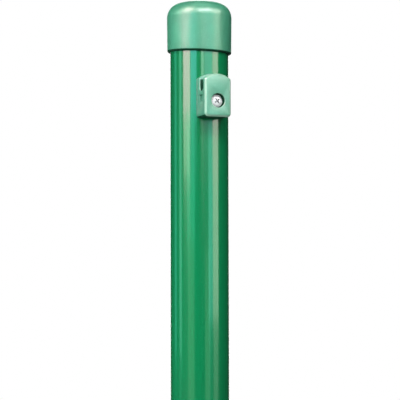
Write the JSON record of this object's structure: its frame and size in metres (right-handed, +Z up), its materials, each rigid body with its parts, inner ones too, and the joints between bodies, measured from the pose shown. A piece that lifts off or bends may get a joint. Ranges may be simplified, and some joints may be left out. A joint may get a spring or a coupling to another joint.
{
  "type": "chain link fence post",
  "caption": "Round coated steel fence post with a domed push-on plastic cap and screwed-on plastic holders whose open-topped slots carry tension wires.",
  "frame": {"origin": "centre of the post tube's plain lower end", "axes": "+Z up the post's axis, -Y towards the side that the wire holders are screwed to, +X along the tension wires"},
  "size_m": [0.0378, 0.0469, 1.5092],
  "materials": {
    "coated_tube": "glossy green coating",
    "cap_plastic": "satin green moulding",
    "holder_plastic": "satin green moulding",
    "screw_zinc": "bright zinc plating"
  },
  "bodies": {
    "root": {"post_tube": "coated_tube", "post_cap": "cap_plastic", "wire_holder_top": "holder_plastic", "wire_holder_middle": "holder_plastic", "wire_holder_bottom": "holder_plastic", "holder_screws": "screw_zinc"}
  },
  "joints": []
}
